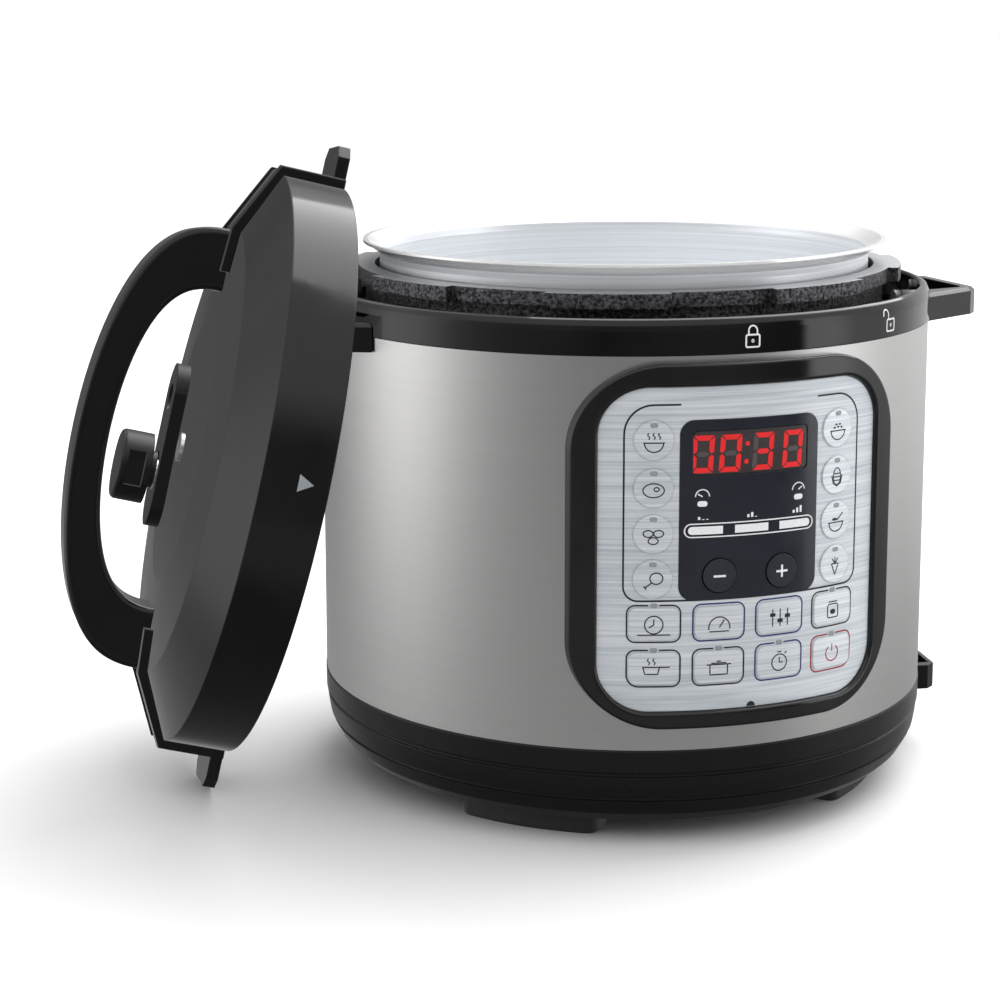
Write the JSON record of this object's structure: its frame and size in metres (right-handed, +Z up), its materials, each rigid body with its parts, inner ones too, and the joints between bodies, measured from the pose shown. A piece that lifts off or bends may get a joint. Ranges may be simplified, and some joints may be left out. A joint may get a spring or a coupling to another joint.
{
  "type": "electric pressure cooker",
  "caption": "Electric pressure cooker with a steel body, front control panel, lift-out pot, side handles and a removable bayonet lid leaning on its left side.",
  "frame": {"origin": "on the cooker's vertical axis, at the undersides of the feet", "axes": "+Z up; the control panel faces -Y; the side handles lie along X, and the lid leans against the -X side"},
  "size_m": [0.4302, 0.308, 0.2875],
  "materials": {
    "base_shell": "satin black moulded plastic",
    "bottom_cover": "satin black moulded plastic",
    "feet": "matt black rubber",
    "base_screws": "zinc plated steel",
    "steel_housing": "horizontally brushed stainless steel",
    "top_ring": "glossy black moulded plastic",
    "handle_right": "glossy black moulded plastic",
    "handle_left": "glossy black moulded plastic",
    "handle_screws": "zinc plated steel",
    "outer_pot": "dull spun aluminium",
    "locking_collar": "sand-cast sides with a machined top",
    "heating_plate": "machined cast aluminium",
    "sensor_spring": "plain steel",
    "sensor_bracket": "plain steel",
    "control_bezel": "glossy black moulded plastic",
    "control_fascia": "silver, horizontally brushed",
    "display_window": "dark blue-black gloss panel",
    "led_display": "dark red display filter",
    "control_board": "green circuit board",
    "board_frame": "natural moulded plastic",
    "power_board": "green circuit board",
    "pressure_switch": "natural moulded plastic",
    "spoon_holder": "satin black moulded plastic",
    "power_inlet": "black moulded socket",
    "inlet_pins": "plated brass",
    "cup_bracket": "satin black moulded plastic",
    "inner_pot": "satin wall with a polished rim",
    "temperature_sensor": "turned aluminium",
    "condensation_cup": "clear moulded plastic",
    "inner_lid_plate": "pressed stainless steel",
    "sealing_ring": "translucent silicone",
    "valve_shield": "translucent silicone",
    "lid_shell": "glossy black moulded plastic",
    "pressure_pan": "pressed stainless steel",
    "lid_strap": "glossy black moulded plastic",
    "lid_handle": "glossy black moulded plastic",
    "valve_island": "satin black moulded plastic",
    "steam_pipe": "turned stainless steel",
    "centre_post": "turned stainless steel",
    "lid_screws": "zinc plated steel",
    "steam_valve_knob": "satin black moulded plastic",
    "float_valve": "turned stainless steel",
    "key_left_1": "silver-grey membrane key",
    "key_left_2": "silver-grey membrane key",
    "key_left_3": "silver-grey membrane key",
    "key_left_4": "silver-grey membrane key",
    "key_right_1": "silver-grey membrane key",
    "key_right_2": "silver-grey membrane key",
    "key_right_3": "silver-grey membrane key",
    "key_right_4": "silver-grey membrane key",
    "key_minus": "dark gloss key",
    "key_plus": "dark gloss key",
    "key_pad_1_1": "silver-grey membrane key",
    "key_pad_1_2": "silver-grey membrane key",
    "key_pad_1_3": "silver-grey membrane key",
    "key_pad_1_4": "silver-grey membrane key",
    "key_pad_2_1": "silver-grey membrane key",
    "key_pad_2_2": "silver-grey membrane key",
    "key_pad_2_3": "silver-grey membrane key",
    "key_pad_2_4": "silver-grey membrane key"
  },
  "bodies": {
    "base": {"base_shell": "base_shell", "bottom_cover": "bottom_cover", "feet": "feet", "base_screws": "base_screws", "steel_housing": "steel_housing", "top_ring": "top_ring", "handle_right": "handle_right", "handle_left": "handle_left", "handle_screws": "handle_screws", "outer_pot": "outer_pot", "locking_collar": "locking_collar", "heating_plate": "heating_plate", "sensor_spring": "sensor_spring", "sensor_bracket": "sensor_bracket", "control_bezel": "control_bezel", "control_fascia": "control_fascia", "display_window": "display_window", "led_display": "led_display", "control_board": "control_board", "board_frame": "board_frame", "power_board": "power_board", "pressure_switch": "pressure_switch", "spoon_holder": "spoon_holder", "power_inlet": "power_inlet", "inlet_pins": "inlet_pins", "cup_bracket": "cup_bracket"},
    "pot": {"inner_pot": "inner_pot"},
    "sensor": {"temperature_sensor": "temperature_sensor"},
    "cup": {"condensation_cup": "condensation_cup"},
    "inner_lid": {"inner_lid_plate": "inner_lid_plate", "sealing_ring": "sealing_ring", "valve_shield": "valve_shield"},
    "lid": {"lid_shell": "lid_shell", "pressure_pan": "pressure_pan", "lid_strap": "lid_strap", "lid_handle": "lid_handle", "valve_island": "valve_island", "steam_pipe": "steam_pipe", "centre_post": "centre_post", "lid_screws": "lid_screws"},
    "steam_knob": {"steam_valve_knob": "steam_valve_knob"},
    "float_pin": {"float_valve": "float_valve"},
    "key_left_1": {"key_left_1": "key_left_1"},
    "key_left_2": {"key_left_2": "key_left_2"},
    "key_left_3": {"key_left_3": "key_left_3"},
    "key_left_4": {"key_left_4": "key_left_4"},
    "key_right_1": {"key_right_1": "key_right_1"},
    "key_right_2": {"key_right_2": "key_right_2"},
    "key_right_3": {"key_right_3": "key_right_3"},
    "key_right_4": {"key_right_4": "key_right_4"},
    "key_minus": {"key_minus": "key_minus"},
    "key_plus": {"key_plus": "key_plus"},
    "key_pad_1_1": {"key_pad_1_1": "key_pad_1_1"},
    "key_pad_1_2": {"key_pad_1_2": "key_pad_1_2"},
    "key_pad_1_3": {"key_pad_1_3": "key_pad_1_3"},
    "key_pad_1_4": {"key_pad_1_4": "key_pad_1_4"},
    "key_pad_2_1": {"key_pad_2_1": "key_pad_2_1"},
    "key_pad_2_2": {"key_pad_2_2": "key_pad_2_2"},
    "key_pad_2_3": {"key_pad_2_3": "key_pad_2_3"},
    "key_pad_2_4": {"key_pad_2_4": "key_pad_2_4"}
  },
  "joints": [
    {"name": "lid_swing", "type": "hinge", "parent": "base", "child": "inner_lid", "pos_m": [0.04236, -0.00468, 0.13607], "axis": [0.1097, 0.994, 0], "range_deg": [0, 75.9]},
    {"name": "lid_turn", "type": "hinge", "parent": "inner_lid", "child": "lid", "pos_m": [-0.15973, 0.01763, 0.1432], "axis": [-0.964, 0.1064, 0.2436], "range_deg": [0, 32]},
    {"name": "steam_knob_turn", "type": "hinge", "parent": "lid", "child": "steam_knob", "pos_m": [-0.21261, 0.05782, 0.13806], "axis": [-0.964, 0.1064, 0.2436], "range_deg": [0, 60]},
    {"name": "float_rise", "type": "slide", "parent": "lid", "child": "float_pin", "axis": [-0.964, 0.1064, 0.2436], "range_m": [0, 0.004]},
    {"name": "pot_lift", "type": "slide", "parent": "base", "child": "pot", "axis": [0, 0, -1], "range_m": [-0.18, 0]},
    {"name": "cup_lift", "type": "slide", "parent": "base", "child": "cup", "axis": [0, 0, 1], "range_m": [0, 0.055]},
    {"name": "sensor_press", "type": "slide", "parent": "base", "child": "sensor", "axis": [0, 0, -1], "range_m": [0, 0.002], "stiffness_N_per_m": 900, "springref_m": -0.004, "deforming": ["sensor_spring"]},
    {"name": "key_left_1_press", "type": "slide", "parent": "base", "child": "key_left_1", "axis": [0.2907, 0.9568, 0], "range_m": [0, 0.0006], "stiffness_N_per_m": 1500, "springref_m": -0.0002},
    {"name": "key_left_2_press", "type": "slide", "parent": "base", "child": "key_left_2", "axis": [0.2907, 0.9568, 0], "range_m": [0, 0.0006], "stiffness_N_per_m": 1500, "springref_m": -0.0002},
    {"name": "key_left_3_press", "type": "slide", "parent": "base", "child": "key_left_3", "axis": [0.2907, 0.9568, 0], "range_m": [0, 0.0006], "stiffness_N_per_m": 1500, "springref_m": -0.0002},
    {"name": "key_left_4_press", "type": "slide", "parent": "base", "child": "key_left_4", "axis": [0.2907, 0.9568, 0], "range_m": [0, 0.0006], "stiffness_N_per_m": 1500, "springref_m": -0.0002},
    {"name": "key_right_1_press", "type": "slide", "parent": "base", "child": "key_right_1", "axis": [-0.2907, 0.9568, 0], "range_m": [0, 0.0006], "stiffness_N_per_m": 1500, "springref_m": -0.0002},
    {"name": "key_right_2_press", "type": "slide", "parent": "base", "child": "key_right_2", "axis": [-0.2907, 0.9568, 0], "range_m": [0, 0.0006], "stiffness_N_per_m": 1500, "springref_m": -0.0002},
    {"name": "key_right_3_press", "type": "slide", "parent": "base", "child": "key_right_3", "axis": [-0.2907, 0.9568, 0], "range_m": [0, 0.0006], "stiffness_N_per_m": 1500, "springref_m": -0.0002},
    {"name": "key_right_4_press", "type": "slide", "parent": "base", "child": "key_right_4", "axis": [-0.2907, 0.9568, 0], "range_m": [0, 0.0006], "stiffness_N_per_m": 1500, "springref_m": -0.0002},
    {"name": "key_minus_press", "type": "slide", "parent": "base", "child": "key_minus", "axis": [0.0985, 0.9951, 0], "range_m": [0, 0.0006], "stiffness_N_per_m": 1500, "springref_m": -0.0002},
    {"name": "key_plus_press", "type": "slide", "parent": "base", "child": "key_plus", "axis": [-0.0985, 0.9951, 0], "range_m": [0, 0.0006], "stiffness_N_per_m": 1500, "springref_m": -0.0002},
    {"name": "key_pad_1_1_press", "type": "slide", "parent": "base", "child": "key_pad_1_1", "axis": [0.2865, 0.9581, 0], "range_m": [0, 0.0006], "stiffness_N_per_m": 1500, "springref_m": -0.0002},
    {"name": "key_pad_1_2_press", "type": "slide", "parent": "base", "child": "key_pad_1_2", "axis": [0.0967, 0.9953, 0], "range_m": [0, 0.0006], "stiffness_N_per_m": 1500, "springref_m": -0.0002},
    {"name": "key_pad_1_3_press", "type": "slide", "parent": "base", "child": "key_pad_1_3", "axis": [-0.0967, 0.9953, 0], "range_m": [0, 0.0006], "stiffness_N_per_m": 1500, "springref_m": -0.0002},
    {"name": "key_pad_1_4_press", "type": "slide", "parent": "base", "child": "key_pad_1_4", "axis": [-0.2865, 0.9581, 0], "range_m": [0, 0.0006], "stiffness_N_per_m": 1500, "springref_m": -0.0002},
    {"name": "key_pad_2_1_press", "type": "slide", "parent": "base", "child": "key_pad_2_1", "axis": [0.2865, 0.9581, 0], "range_m": [0, 0.0006], "stiffness_N_per_m": 1500, "springref_m": -0.0002},
    {"name": "key_pad_2_2_press", "type": "slide", "parent": "base", "child": "key_pad_2_2", "axis": [0.0967, 0.9953, 0], "range_m": [0, 0.0006], "stiffness_N_per_m": 1500, "springref_m": -0.0002},
    {"name": "key_pad_2_3_press", "type": "slide", "parent": "base", "child": "key_pad_2_3", "axis": [-0.0967, 0.9953, 0], "range_m": [0, 0.0006], "stiffness_N_per_m": 1500, "springref_m": -0.0002},
    {"name": "key_pad_2_4_press", "type": "slide", "parent": "base", "child": "key_pad_2_4", "axis": [-0.2865, 0.9581, 0], "range_m": [0, 0.0006], "stiffness_N_per_m": 1500, "springref_m": -0.0002}
  ]
}
